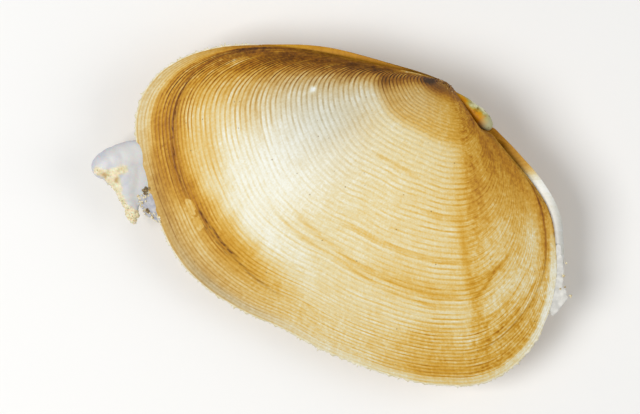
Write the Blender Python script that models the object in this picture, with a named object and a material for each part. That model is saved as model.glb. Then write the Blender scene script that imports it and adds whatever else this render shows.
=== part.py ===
# A closed clam shell with its two valves, its ligament and the dead tissue caught between them.
#
# Each valve is a stack of growth lines. A growth line is the margin made smaller about the beak and turned
# up about the hinge line, so the whole valve is a spiral that opens from the beak to the margin.
# In the shell's own frame the hinge line is X, the margins lie in the XY plane and the left valve is above.
# All sizes below are millimetres.

import math

import bmesh
import bpy
from mathutils import Matrix, Vector

MM = 0.001

# The valve's margin, from the beak at (0, 0) along the front of the hinge, round the belly and back.
MARGIN = (
    (-0.6, -0.4), (-3.6, -1.2), (-6.9, -2.0), (-10.0, -2.9), (-13.5, -4.3), (-16.1, -5.7), (-18.4, -7.4),
    (-20.3, -9.6), (-21.4, -12.2), (-21.3, -15.0), (-20.0, -17.5), (-17.8, -20.0), (-15.4, -22.1),
    (-12.6, -24.1), (-9.5, -25.2), (-5.8, -25.5), (-1.6, -25.1), (2.9, -24.9), (6.2, -24.4), (9.3, -23.7),
    (12.5, -22.5), (15.8, -20.2), (17.3, -17.0), (17.5, -13.8), (16.6, -10.2), (15.0, -7.4), (13.2, -5.2),
    (11.1, -3.9), (7.8, -2.7), (4.9, -1.8), (2.0, -0.9),
)
COLUMNS = 36  # points round each growth line

BEAK_TURN = 1.5  # how far, in radians, the first growth line is turned about the hinge from the margin's plane
BEAK_SIZE = 0.06  # the smallest growth line, as a share of the margin
FIRST_RIDGE_SIZE = 0.14
RIDGES = 22
RIDGE_TURN = math.radians(0.65)  # extra turn that lifts a ridge's crest
RIDGE_SWELL = 0.003  # extra size of a ridge's crest
CREST_SHARE = 0.35  # where the crest stands between one furrow and the next

RIM_WIDTH = 0.55
WALL = 1.0
WALL_TURN = math.radians(1.4)  # how far the inner face is turned back towards the margin
INNER_SIZES = (0.93, 0.83, 0.7, 0.56, 0.42, 0.3, 0.2)

# Beside the hinge the right valve's margin stands out past the left one's, but not at the beak and ligament.
FRONT_OVERLAP = 0.5
FRONT_STRETCH = (-16.0, -9.0, -3.5, -1.5)  # it grows between the first two places along X and fades by the last
REAR_OVERLAP = 0.75
REAR_STRETCH = (5.0, 7.5)

VALVE_GAP = 0.3
GAPE = math.radians(1.2)  # the dead shell stands open by this much
HINGE_Y = -0.5
REST_ROLL = math.radians(10.0)  # the closed shell lies with its hinge side raised
REST_FLAT = 0.15  # the worn flat on which it lies is this deep
REST_FADE = 3.5  # the ridges fade out this near to the flat

# The foot and the shred follow the margin. Each row is the share of the way along, how far the piece stands
# out past the margin, and how thick it is there.
FOOT_FROM, FOOT_TO = (-20.1, -17.4), (-15.0, -22.6)
FOOT_ROWS = (
    (0.0, 0.6, 0.5), (0.03, 1.9, 1.3), (0.07, 2.9, 1.9), (0.11, 3.7, 2.3), (0.2, 4.3, 2.5), (0.32, 4.1, 2.5),
    (0.43, 3.4, 2.1), (0.52, 3.0, 1.7), (0.62, 2.8, 1.4), (0.72, 2.7, 1.3), (0.84, 2.4, 1.2), (0.93, 2.0, 1.0),
    (0.97, 0.9, 0.7), (1.0, 0.4, 0.4),
)
SHRED_FROM, SHRED_TO = (17.4, -12.9), (15.2, -7.4)
SHRED_ROWS = (
    (0.0, 0.25, 0.25), (0.08, 0.4, 0.3), (0.16, 0.8, 0.4), (0.25, 1.15, 0.45), (0.33, 1.25, 0.45),
    (0.42, 0.9, 0.45), (0.5, 0.5, 0.4), (0.6, 0.35, 0.35), (0.72, 0.45, 0.35), (0.85, 0.3, 0.3), (1.0, 0.2, 0.25),
)
TISSUE_ROOT = 0.9  # how far the tissue reaches in between the valves
TISSUE_NECK = 0.2  # its thickness there
TISSUE_SIDES = 10

# The ligament's sections along X: place, height of its middle over the hinge line, half height, half width.
LIGAMENT_SECTIONS = (
    (1.2, -0.1, 0.1, 0.1), (1.7, -0.15, 0.26, 0.2), (2.4, -0.25, 0.38, 0.27), (3.2, -0.42, 0.5, 0.34),
    (4.0, -0.65, 0.54, 0.4), (4.7, -0.9, 0.48, 0.4), (5.15, -1.08, 0.3, 0.28), (5.3, -1.15, 0.1, 0.1),
)
LIGAMENT_SIDES = 12


def material(name, colour, roughness):
    made = bpy.data.materials.new(name)
    made.use_nodes = True
    shader = made.node_tree.nodes["Principled BSDF"]
    shader.inputs["Base Color"].default_value = (*colour, 1)
    shader.inputs["Roughness"].default_value = roughness
    shader.inputs["Metallic"].default_value = 0.0
    made.diffuse_color = (*colour, 1)
    return made


def smooth_step(low, high, value):
    share = min(1.0, max(0.0, (value - low) / (high - low)))
    return share * share * (3 - 2 * share)


def smooth_loop(points, per_span=24):
    """A closed Catmull-Rom curve through the points."""
    points = [Vector(p) for p in points]
    curve = []
    for i in range(len(points)):
        a, b, c, d = (points[(i + k) % len(points)] for k in (-1, 0, 1, 2))
        for step in range(per_span):
            t = step / per_span
            bend = (2 * a - 5 * b + 4 * c - d) * t * t + (3 * (b - c) + d - a) * t**3
            curve.append(b + ((c - a) * t + bend) / 2)
    return curve


def evenly(points, count):
    """count points at equal distances along the closed line through the points."""
    ends = points[1:] + points[:1]
    lengths = [(q - p).length for p, q in zip(points, ends)]
    step = sum(lengths) / count
    spread, along = [], 0.0
    for p, q, length in zip(points, ends, lengths):
        while len(spread) < count and len(spread) * step < along + length:
            spread.append(p.lerp(q, (len(spread) * step - along) / length))
        along += length
    return spread


def outward(line, i):
    """The direction in the plane that points out of a closed line that runs anticlockwise."""
    along = (line[(i + 1) % len(line)] - line[i - 1]).normalized()
    return Vector((along.y, -along.x))


def overlapping(line):
    """The right valve's margin: the left one's, set out beside the hinge but not at the beak and the ligament."""
    moved = []
    for i, point in enumerate(line):
        out = outward(line, i)
        beside_hinge = smooth_step(0.1, 0.7, out.y)
        grows, full, fades, gone = FRONT_STRETCH
        front = FRONT_OVERLAP * smooth_step(grows, full, point.x) * (1 - smooth_step(fades, gone, point.x))
        rear = REAR_OVERLAP * smooth_step(*REAR_STRETCH, point.x)
        moved.append(point + out * beside_hinge * (front + rear))
    return moved


def grown(point, size, more_turn=0.0, swell=0.0):
    """A point of the margin carried back to an earlier, smaller growth line of the upper valve."""
    turn = BEAK_TURN * (1 - math.sqrt(size)) + more_turn
    flat = Vector((point.x, point.y, 0)) * (size + swell)
    return Matrix.Rotation(-turn, 3, "X") @ flat


def outer_lines(margin, relief):
    """Growth lines from the beak to the margin: a furrow, then a crest, for every ridge."""
    lines = []
    beak_steps = 4
    for i in range(beak_steps):
        size = BEAK_SIZE * (FIRST_RIDGE_SIZE / BEAK_SIZE) ** (i / beak_steps)
        lines.append([grown(p, size) for p in margin])
    pitch = (1 - FIRST_RIDGE_SIZE) / RIDGES
    for i in range(RIDGES):
        furrow = FIRST_RIDGE_SIZE + i * pitch
        crest = furrow + (1 - CREST_SHARE) * pitch
        lines.append([grown(p, furrow) for p in margin])
        raised = [(p, relief(p, crest)) for p in margin]
        lines.append([grown(p, crest, RIDGE_TURN * r, RIDGE_SWELL * r) for p, r in raised])
    lines.append([grown(p, 1.0) for p in margin])
    return lines


def inner_line(margin, size, wall, turn_back):
    """The inside face: a growth line drawn in towards its own middle and turned back."""
    line = [grown(p, size, -turn_back) for p in margin]
    middle = sum(line, Vector()) / len(line)
    reach = sum((p - middle).length for p in line) / len(line)
    return [middle + (p - middle) * (1 - wall / reach) for p in line]


def inner_lines(margin):
    lines = [inner_line(margin, 1.0, RIM_WIDTH, 0.0)]
    for size in INNER_SIZES:
        wall = RIM_WIDTH + (WALL - RIM_WIDTH) * smooth_step(1.0, 0.7, size)
        lines.append(inner_line(margin, size, wall, WALL_TURN * smooth_step(1.0, 0.6, size) / size))
    return lines


def skinned(lines):
    """A closed mesh over a row of closed lines that hold equally many points, capped at both ends."""
    bm = bmesh.new()
    rows = [[bm.verts.new(p * MM) for p in line] for line in lines]
    for near, far in zip(rows, rows[1:]):
        for i in range(len(near)):
            bm.faces.new((near[i - 1], near[i], far[i], far[i - 1]))
    bm.faces.new(reversed(rows[0]))
    bm.faces.new(rows[-1])
    bmesh.ops.triangulate(bm, faces=[f for f in bm.faces if len(f.verts) > 4])
    bmesh.ops.recalc_face_normals(bm, faces=bm.faces)
    return bm


def to_rest():
    """From the shell's own frame to the frame in which it lies on the table."""
    return Matrix.Rotation(REST_ROLL, 4, "X")


def valve_place(side):
    """side is 1 for the left valve, above, and -1 for the right one, below."""
    hinge = Matrix.Translation((0, HINGE_Y * MM, 0))
    opened = hinge @ Matrix.Rotation(-side * GAPE / 2, 4, "X") @ hinge.inverted()
    return Matrix.Translation((0, 0, side * VALVE_GAP / 2 * MM)) @ opened


def lowest_point(margin, place):
    """Where the smooth right valve touches the table, in the valve's own unmirrored frame."""
    down = (to_rest() @ place).to_3x3() @ Matrix.Scale(-1, 3, (0, 0, 1))
    sizes = [0.3 + 0.01 * i for i in range(60)]
    return min((grown(p, size) for p in margin for size in sizes), key=lambda p: (down @ p).z)


def left_valve(line):
    bm = skinned(outer_lines(line, lambda point, size: 1.0) + inner_lines(line))
    bm.transform(valve_place(1))
    return bm


def right_valve(line):
    """The left valve's mirror image with a worn flat on its lowest place."""
    place = valve_place(-1)
    rest = lowest_point(line, place)

    def relief(point, size):
        away = (grown(point, size) - rest).length
        return smooth_step(0.6 * REST_FADE, 1.6 * REST_FADE, away)

    bm = skinned(outer_lines(line, relief) + inner_lines(line))
    bmesh.ops.scale(bm, vec=(1, 1, -1), verts=bm.verts)
    bmesh.ops.reverse_faces(bm, faces=bm.faces)
    bm.transform(place)
    down = to_rest().to_3x3().inverted() @ Vector((0, 0, -1))
    lowest = max(v.co.dot(down) for v in bm.verts)
    bmesh.ops.bisect_plane(
        bm,
        geom=bm.verts[:] + bm.edges[:] + bm.faces[:],
        plane_co=down * (lowest - REST_FLAT * MM),
        plane_no=down,
        clear_outer=True,
    )
    bmesh.ops.holes_fill(bm, edges=[e for e in bm.edges if e.is_boundary])
    return bm


def span_of(line, start, end):
    """The stretch of the margin between the points nearest to start and end."""
    nearest = [min(range(len(line)), key=lambda i: (line[i] - Vector(p)).length) for p in (start, end)]
    return range(nearest[0], nearest[1] + 1)


def tissue(line, start, end, rows):
    """A lobe that comes out between the valves along a stretch of the margin, thin at its root and rounded."""
    span = span_of(line, start, end)
    sections = []
    for share, reach, thickness in rows:
        i = span[round(share * (len(span) - 1))]
        out = outward(line, i)
        section = []
        for side in range(TISSUE_SIDES):
            turn = 2 * math.pi * side / TISSUE_SIDES
            across = 0.5 - 0.5 * math.cos(turn)
            past_margin = across * (TISSUE_ROOT + reach) - TISSUE_ROOT
            half = (TISSUE_NECK + (thickness - TISSUE_NECK) * smooth_step(0.2, 0.9, past_margin)) / 2
            flat = line[i] + out * past_margin
            section.append(Vector((flat.x, flat.y, half * math.sin(turn))))
        sections.append(section)
    return skinned(sections)


def ligament():
    sections = []
    for x, middle, half_height, half_width in LIGAMENT_SECTIONS:
        section = []
        for side in range(LIGAMENT_SIDES):
            turn = 2 * math.pi * side / LIGAMENT_SIDES
            section.append(Vector((x, middle + half_height * math.cos(turn), half_width * math.sin(turn))))
        sections.append(section)
    return skinned(sections)


def named(name, bm, look, shell):
    mesh = bpy.data.meshes.new(name)
    bm.to_mesh(mesh)
    bm.free()
    mesh.shade_smooth()
    mesh.set_sharp_from_angle(angle=math.radians(40))
    mesh.materials.append(look)
    made = bpy.data.objects.new(name, mesh)
    bpy.context.scene.collection.objects.link(made)
    made.parent = shell
    return made


def stand_on_origin(shell, pieces):
    """Moves the shell so that the middle of its box's bottom is the origin."""
    bpy.context.view_layer.update()
    corners = [piece.matrix_world @ v.co for piece in pieces for v in piece.data.vertices]
    low = Vector(min(c[k] for c in corners) for k in range(3))
    high = Vector(max(c[k] for c in corners) for k in range(3))
    shell.location = (-(low.x + high.x) / 2, -(low.y + high.y) / 2, -low.z)
    bpy.context.view_layer.update()


def main():
    for old in list(bpy.data.objects):
        bpy.data.objects.remove(old)
    shell = bpy.data.objects.new("shell", None)
    bpy.context.scene.collection.objects.link(shell)
    shell.rotation_euler = (REST_ROLL, 0, 0)

    curve = smooth_loop(MARGIN)
    line = evenly(curve, COLUMNS)
    foot = tissue(curve, FOOT_FROM, FOOT_TO, FOOT_ROWS)
    shred = tissue(curve, SHRED_FROM, SHRED_TO, SHRED_ROWS)
    pieces = [
        named("left_valve", left_valve(line), material("worn shell", (0.83, 0.7, 0.44), 0.55), shell),
        named("right_valve", right_valve(overlapping(line)), material("stained shell", (0.72, 0.5, 0.24), 0.55), shell),
        named("ligament", ligament(), material("horn", (0.55, 0.42, 0.1), 0.4), shell),
        named("foot", foot, material("dried tissue", (0.56, 0.56, 0.58), 0.4), shell),
        named("mantle_shred", shred, material("mantle skin", (0.5, 0.5, 0.5), 0.3), shell),
    ]
    stand_on_origin(shell, pieces)


main()
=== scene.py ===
import math
import random
from functools import partial

import bpy
import numpy as np
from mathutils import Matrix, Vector, noise


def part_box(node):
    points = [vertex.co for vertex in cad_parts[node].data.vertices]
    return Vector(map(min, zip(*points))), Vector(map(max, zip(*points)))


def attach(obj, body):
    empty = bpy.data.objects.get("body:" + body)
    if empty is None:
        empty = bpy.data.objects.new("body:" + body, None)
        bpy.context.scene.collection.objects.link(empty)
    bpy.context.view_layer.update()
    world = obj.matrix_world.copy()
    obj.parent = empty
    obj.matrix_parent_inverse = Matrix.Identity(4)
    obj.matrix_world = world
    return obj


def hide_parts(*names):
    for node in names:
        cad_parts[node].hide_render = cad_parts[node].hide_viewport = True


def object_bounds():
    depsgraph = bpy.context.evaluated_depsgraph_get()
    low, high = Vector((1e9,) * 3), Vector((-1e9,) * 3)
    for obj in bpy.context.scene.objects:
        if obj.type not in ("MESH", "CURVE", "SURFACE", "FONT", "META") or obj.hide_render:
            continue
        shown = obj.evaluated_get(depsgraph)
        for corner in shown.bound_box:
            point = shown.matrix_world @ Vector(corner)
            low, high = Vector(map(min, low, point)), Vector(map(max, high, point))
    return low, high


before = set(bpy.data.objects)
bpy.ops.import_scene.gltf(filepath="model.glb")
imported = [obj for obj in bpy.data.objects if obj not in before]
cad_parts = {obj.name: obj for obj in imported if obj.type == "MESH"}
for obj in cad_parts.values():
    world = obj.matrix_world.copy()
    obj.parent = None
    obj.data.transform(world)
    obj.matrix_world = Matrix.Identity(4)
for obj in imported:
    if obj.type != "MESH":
        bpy.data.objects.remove(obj)  # the five solids of the clam, as a fixed frame
cadLow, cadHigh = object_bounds()
mm = 0.001
scene = bpy.context.scene
scene.view_settings.view_transform = "Standard"  # the hex colours below show as they are written


def linear(code):
    # an sRGB hex colour as the linear numbers that a shader takes
    parts = [int(code[i : i + 2], 16) / 255 for i in (1, 3, 5)]
    return (*[p / 12.92 if p < 0.04045 else ((p + 0.055) / 1.055) ** 2.4 for p in parts], 1)


def outputOf(value):
    # a node stands for its first live output
    if isinstance(value, bpy.types.Node):
        return next(output for output in value.outputs if output.enabled)
    return value


def addNode(tree, kind, sockets=(), **settings):
    # one shader node; a socket, in its own place or by name, takes a number, a colour, a node or an output
    node = tree.nodes.new("ShaderNode" + kind)
    for name, value in settings.items():
        if name == "stops":
            stops = node.color_ramp.elements
            while len(stops) < len(value):
                stops.new(1)
            for stop, (place, colour) in zip(stops, value):
                stop.position, stop.color = place, linear(colour)
        else:
            setattr(node, name, value)
    live = [socket for socket in node.inputs if socket.enabled]
    if isinstance(sockets, dict):
        live = [next(socket for socket in live if socket.name == name) for name in sockets]
        sockets = sockets.values()
    for socket, value in zip(live, map(outputOf, sockets)):
        if isinstance(value, bpy.types.NodeSocket):
            tree.links.new(value, socket)
        else:
            socket.default_value = value
    return node


def newMaterial(name, shaderSockets):
    made = bpy.data.materials.new(name)
    made.use_nodes = True
    for key, value in shaderSockets.items():
        made.node_tree.nodes["Principled BSDF"].inputs[key].default_value = value
    return made


def finishMaterial(made, colour, height=None, strength=0, deep=0):
    # a pattern's colour goes to the shader, and its height, so many millimetres deep, as bump
    tree = made.node_tree
    shader = tree.nodes["Principled BSDF"]
    tree.links.new(outputOf(colour), shader.inputs["Base Color"])
    if height:
        bump = addNode(tree, "Bump", {"Height": height, "Strength": strength, "Distance": deep * mm})
        tree.links.new(outputOf(bump), shader.inputs["Normal"])
    return made


def objectMode():
    bpy.ops.object.mode_set(mode="OBJECT")


def clearSelection():
    if bpy.context.mode != "OBJECT":
        objectMode()
    bpy.ops.object.select_all(action="DESELECT")


def makeActive(piece):
    clearSelection()
    piece.select_set(True)
    bpy.context.view_layer.objects.active = piece


def readFrom(items, name, width=1, kind=np.int32):
    values = np.empty(len(items) * width, kind)
    items.foreach_get(name, values)
    return values.reshape(-1, width) if width > 1 else values


def editMesh(piece, points=None, edges=None):
    # edit mode with the given vertices or edges selected, or the whole piece
    makeActive(piece)
    mesh = piece.data
    byEdge = edges is not None
    if points is None:
        points = np.full(len(mesh.vertices), not byEdge)
    if byEdge:
        points[readFrom(mesh.edges, "vertices", 2)[edges].ravel()] = True
    scene.tool_settings.mesh_select_mode = (not byEdge, byEdge, False)
    mesh.polygons.foreach_set("select", np.zeros(len(mesh.polygons), bool))
    mesh.vertices.foreach_set("select", points)
    mesh.edges.foreach_set("select", edges if byEdge else np.zeros(len(mesh.edges), bool))
    bpy.ops.object.mode_set(mode="EDIT")
    bpy.ops.mesh.select_mode(type="EDGE" if byEdge else "VERT")


def pointsOf(piece):
    # vertex places in millimetres
    return readFrom(piece.data.vertices, "co", 3, np.float32).astype(float) / mm


def setPoints(piece, places):
    piece.data.vertices.foreach_set("co", (places * mm).astype(np.float32).ravel())
    piece.data.update()


def mark(piece, name, values):
    # a number on every vertex, for the material to read
    mesh = piece.data
    layer = mesh.attributes.get(name) or mesh.attributes.new(name, "FLOAT", "POINT")
    layer.data.foreach_set("value", np.broadcast_to(values, len(mesh.vertices)).astype(np.float32))


def marked(piece, name):
    return readFrom(piece.data.attributes[name].data, "value", 1, np.float32).astype(float)


def finishModifier(piece, kind, **settings):
    makeActive(piece)
    modifier = piece.modifiers.new("shape", kind)
    for key, value in settings.items():
        setattr(modifier, key, value)
    bpy.ops.object.modifier_apply(modifier=modifier.name)


def pushOut(piece, depths):
    # moves each vertex out along its normal by its own depth in millimetres
    makeActive(piece)
    group = piece.vertex_groups.new(name="depth")
    most = float(depths.max())
    for index in np.nonzero(depths > 0)[0]:
        group.add([int(index)], float(depths[index] / most), "REPLACE")
    finishModifier(piece, "DISPLACE", strength=most * mm, mid_level=0, vertex_group="depth")
    piece.vertex_groups.clear()


def turnAboutX(angle, centre=(0, 0, 0)):
    # with no window, rotate turns the other way
    bpy.ops.transform.rotate(value=-angle, orient_axis="X", orient_type="GLOBAL", center_override=centre)


def movePiece(piece, way):
    editMesh(piece)
    bpy.ops.transform.translate(value=way)
    objectMode()


def normalsOut(piece):
    editMesh(piece)
    bpy.ops.mesh.normals_make_consistent(inside=False)
    objectMode()


def smoothStep(low, high, value):
    share = np.clip((value - low) / (high - low), 0, 1)
    return share * share * (3 - 2 * share)


def between(grows, full, fades, gone, value):
    # rises from 0 to 1 and falls back to 0
    return smoothStep(grows, full, value) * (1 - smoothStep(fades, gone, value))


def alongLine(points, value):
    places, heights = zip(*points)
    return np.interp(value, places, heights)


def drift(x, y, seed=0.0):
    # smooth unevenness between about -1 and 1, at each pair of places
    return np.array([noise.noise(Vector((a, b, seed))) for a, b in zip(x, y)]) * 1.6


# The shell is a growth spiral. Every growth line is the margin made smaller about the beak and turned up
# about the hinge line. Sizes are millimetres from the beak, X to the rear and Y to the hinge.
shellForm = {
    "margin": (
        (-0.6, -0.4), (-3.6, -1.2), (-6.9, -2.0), (-10.0, -2.9), (-13.5, -4.3), (-16.1, -5.7),
        (-18.4, -7.4), (-20.3, -9.6), (-21.4, -12.2), (-21.3, -15.0), (-20.0, -17.5), (-17.8, -20.0),
        (-15.4, -22.1), (-12.6, -24.1), (-9.5, -25.2), (-5.8, -25.5), (-1.6, -25.1), (2.9, -24.9),
        (6.2, -24.4), (9.3, -23.7), (12.5, -22.5), (15.8, -20.2), (17.3, -17.0), (17.5, -13.8),
        (16.6, -10.2), (15.0, -7.4), (13.2, -5.2), (11.1, -3.9), (7.8, -2.7), (4.9, -1.8), (2.0, -0.9),
        (0.7, -0.54),
    ),
    "marginLength": 105,
    "stepsPerSpan": 8,
    "beakTurn": 1.5,  # radians from the margin's plane to the first growth line
    "threadZones": ((0.236, 0.0115), (0.8, 0.0158), (1.0, 0.0123)),  # up to a size, growth between threads
    "firstThread": 4,
    "beakSizes": (0.036, 0.027, 0.019, 0.013, 0.009),
    "cuts": 4,  # rows of faces added within each thread
    "threadHeight": 0.045,
    "threadSag": (0.435, 0.06, 0.525),  # where along the margin they dip, half width, by how many threads
    "leftRim": 0.966,  # the margin's inner edge, as a share of its outer edge
    "rightRim": 0.93,
    "insideSizes": (0.95, 0.88, 0.78, 0.66, 0.54, 0.42, 0.3, 0.18, 0.08),
    "insideHeight": 0.84,
    "lipWhite": 0.45,  # how much of the white inner lip shows, and where along the margin
    "lipReach": (0.74, 0.78, 0.86, 0.89),
    "solidGap": 0.3,  # between the solids' margins, wider than that of the shell itself
    "valveGap": 0.1,
    "gape": 1.2,  # degrees
    "hingeY": -0.5,
    "restRoll": 10.0,  # degrees
    "frontOverlap": 0.5,  # how far the right valve stands out past the left one, and over which X
    "frontReach": (-16.0, -9.0, -3.5, -1.5),
    "rearOverlap": 0.75,
    "rearReach": (5.0, 7.5),
    "hollowDepth": 0.5,  # the wall set back beside the ligament, along the margin and from the beak
    "hollowAlong": (0.8, 0.88, 0.975, 0.995),
    "hollowFromBeak": (0.8, 1.8, 4.8, 6.4),
}


def threadCounts():
    # the sizes at which the spacing of the threads changes, and the threads counted up to each
    sizes, counts = [0.0], [0.0]
    for end, spacing in shellForm["threadZones"]:
        counts.append(counts[-1] + (end - sizes[-1]) / spacing)
        sizes.append(end)
    return sizes, counts


def threadsAt(size):
    sizes, counts = threadCounts()
    return np.interp(size, sizes, counts)


def sizeAt(threads):
    sizes, counts = threadCounts()
    return float(np.interp(threads, counts, sizes))


def turnAt(size):
    return shellForm["beakTurn"] * (1 - math.sqrt(size))


def growthOf(places):
    # turnAt the other way round, from places about a beak at 0
    turn = np.arctan2(places[:, 2], -places[:, 1])
    return (1 - turn / shellForm["beakTurn"]) ** 2


def marginLoop(name, stepsPerSpan):
    # the margin as a closed ring of edges, in the plane between the valves
    margin = shellForm["margin"]
    clearSelection()
    bpy.ops.curve.primitive_bezier_circle_add(radius=10 * mm, location=(0, 0, 0))
    ring = bpy.context.object
    bpy.ops.object.mode_set(mode="EDIT")
    bpy.ops.curve.select_all(action="SELECT")
    bpy.ops.curve.subdivide(number_cuts=len(margin) // 4 - 1)
    bpy.ops.curve.handle_type_set(type="AUTOMATIC")
    objectMode()
    for knot, (x, y) in zip(ring.data.splines[0].bezier_points, margin):
        knot.co = (x * mm, y * mm, 0)
    ring.data.resolution_u = stepsPerSpan
    bpy.ops.object.convert(target="MESH")
    ring = bpy.context.object
    ring.name = name
    return ring


def shareRound(loop):
    # how far round the margin each point is, from 0 to 1
    steps = np.linalg.norm(np.roll(loop, -1, 0) - loop, axis=1)
    return np.r_[0, np.cumsum(steps)[:-1]] / steps.sum()


def outwardFrom(loop):
    # the direction out of the ring at each of its points
    way = np.roll(loop, -1, 0) - np.roll(loop, 1, 0)
    way /= np.linalg.norm(way, axis=1)[:, None]
    return np.stack([way[:, 1], -way[:, 0], 0 * way[:, 0]], 1)


def setOutBesideHinge(ring):
    # the right valve's margin stands out past the left one's beside the hinge, but not at the ligament
    form = shellForm
    loop = pointsOf(ring)
    out = outwardFrom(loop)
    front = form["frontOverlap"] * between(*form["frontReach"], loop[:, 0])
    rear = form["rearOverlap"] * smoothStep(*form["rearReach"], loop[:, 0])
    towardsHinge = smoothStep(0.1, 0.7, out[:, 1])
    setPoints(ring, loop + out * (towardsHinge * (front + rear))[:, None])


def extrudeSpiral(sizes, centre):
    # one extrusion for each size, ever smaller and turned further up, and closed at the end
    for size, smaller in zip(sizes, sizes[1:]):
        bpy.ops.mesh.extrude_region_move()
        bpy.ops.transform.resize(value=(smaller / size,) * 3, center_override=centre)
        turnAboutX(turnAt(size) - turnAt(smaller), centre)
    bpy.ops.mesh.merge(type="CENTER")
    objectMode()


def growOuter(valve):
    # one extrusion for each thread, from the margin back to the beak
    form = shellForm
    last = float(threadsAt(1.0))
    threads = [last] + list(range(int(last), form["firstThread"] - 1, -1))
    editMesh(valve)
    extrudeSpiral([sizeAt(count) for count in threads] + list(form["beakSizes"]), (0, 0, 0))
    mark(valve, "growth", growthOf(pointsOf(valve)))
    ends = marked(valve, "growth")[readFrom(valve.data.edges, "vertices", 2)]
    across = (np.abs(ends[:, 0] - ends[:, 1]) > 1e-3) & (ends.min(1) > sizeAt(form["firstThread"]) - 1e-3)
    editMesh(valve, edges=across)
    bpy.ops.mesh.subdivide(number_cuts=form["cuts"])
    objectMode()


def growInner(valve, rim):
    # the rim and the inside face, a smaller spiral inside the outer one
    form = shellForm
    outerCount = len(valve.data.vertices)
    rimLine = marked(valve, "growth") > 0.99999
    middle = pointsOf(valve)[rimLine].mean(0)
    innerBeak = Vector(middle * (1 - rim) * mm)
    editMesh(valve, rimLine)
    bpy.ops.mesh.extrude_region_move()
    bpy.ops.transform.resize(value=(rim,) * 3, center_override=Vector(middle * mm))
    objectMode()
    rimCount = len(valve.data.vertices)
    editMesh(valve, np.arange(rimCount) >= outerCount)
    extrudeSpiral((1.0,) + form["insideSizes"], innerBeak)
    count = np.arange(len(valve.data.vertices))
    growth = growthOf(pointsOf(valve) - np.array(innerBeak) / mm)
    mark(valve, "growth", np.where(count >= rimCount, growth, marked(valve, "growth")))
    editMesh(valve, count >= outerCount)
    bpy.ops.transform.resize(value=(1, 1, form["insideHeight"]), center_override=(0, 0, 0))
    objectMode()
    lip = form["lipWhite"] * between(*form["lipReach"], marked(valve, "along"))
    mark(valve, "inside", np.where(count >= rimCount, 1, lip * (count >= outerCount)))


def mapGrowth(valve):
    # a UV map with the way round the margin across and growth upwards, for the fine lines
    mesh = valve.data
    layer = mesh.uv_layers.new(name="growthMap")
    corners = readFrom(mesh.loops, "vertex_index")
    along = marked(valve, "along")[corners]
    most = np.maximum.reduceat(along, readFrom(mesh.polygons, "loop_start"))
    most = np.repeat(most, readFrom(mesh.polygons, "loop_total"))
    along = np.where(most - along > 0.5, along + 1, along)
    both = np.stack([along, marked(valve, "growth")[corners]], 1)
    layer.data.foreach_set("uv", both.astype(np.float32).ravel())


def valveShape(name, side):
    # side is 1 for the left valve, above, and -1 for the right one, below
    valve = marginLoop(name, shellForm["stepsPerSpan"])
    if side < 0:
        setOutBesideHinge(valve)
    mark(valve, "along", shareRound(pointsOf(valve)))
    growOuter(valve)
    growInner(valve, shellForm["leftRim" if side > 0 else "rightRim"])
    normalsOut(valve)
    mapGrowth(valve)
    return valve


def closeOnHinge(piece, side):
    # turns the valve over if it is the lower one, and sets it ajar about the hinge
    form = shellForm
    editMesh(piece)
    if side < 0:
        bpy.ops.transform.resize(value=(1, 1, -1), center_override=(0, 0, 0))
        bpy.ops.mesh.flip_normals()
    turnAboutX(-side * math.radians(form["gape"] / 2), (0, form["hingeY"] * mm, 0))
    bpy.ops.transform.translate(value=(0, 0, side * form["valveGap"] / 2 * mm))
    objectMode()


def layDown(piece, beak=(0, 0, 0)):
    # rolls a piece from the shell's own frame to the way the shell lies, with its beak at the given place
    editMesh(piece)
    turnAboutX(math.radians(shellForm["restRoll"]))
    bpy.ops.transform.translate(value=beak)
    objectMode()


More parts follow.
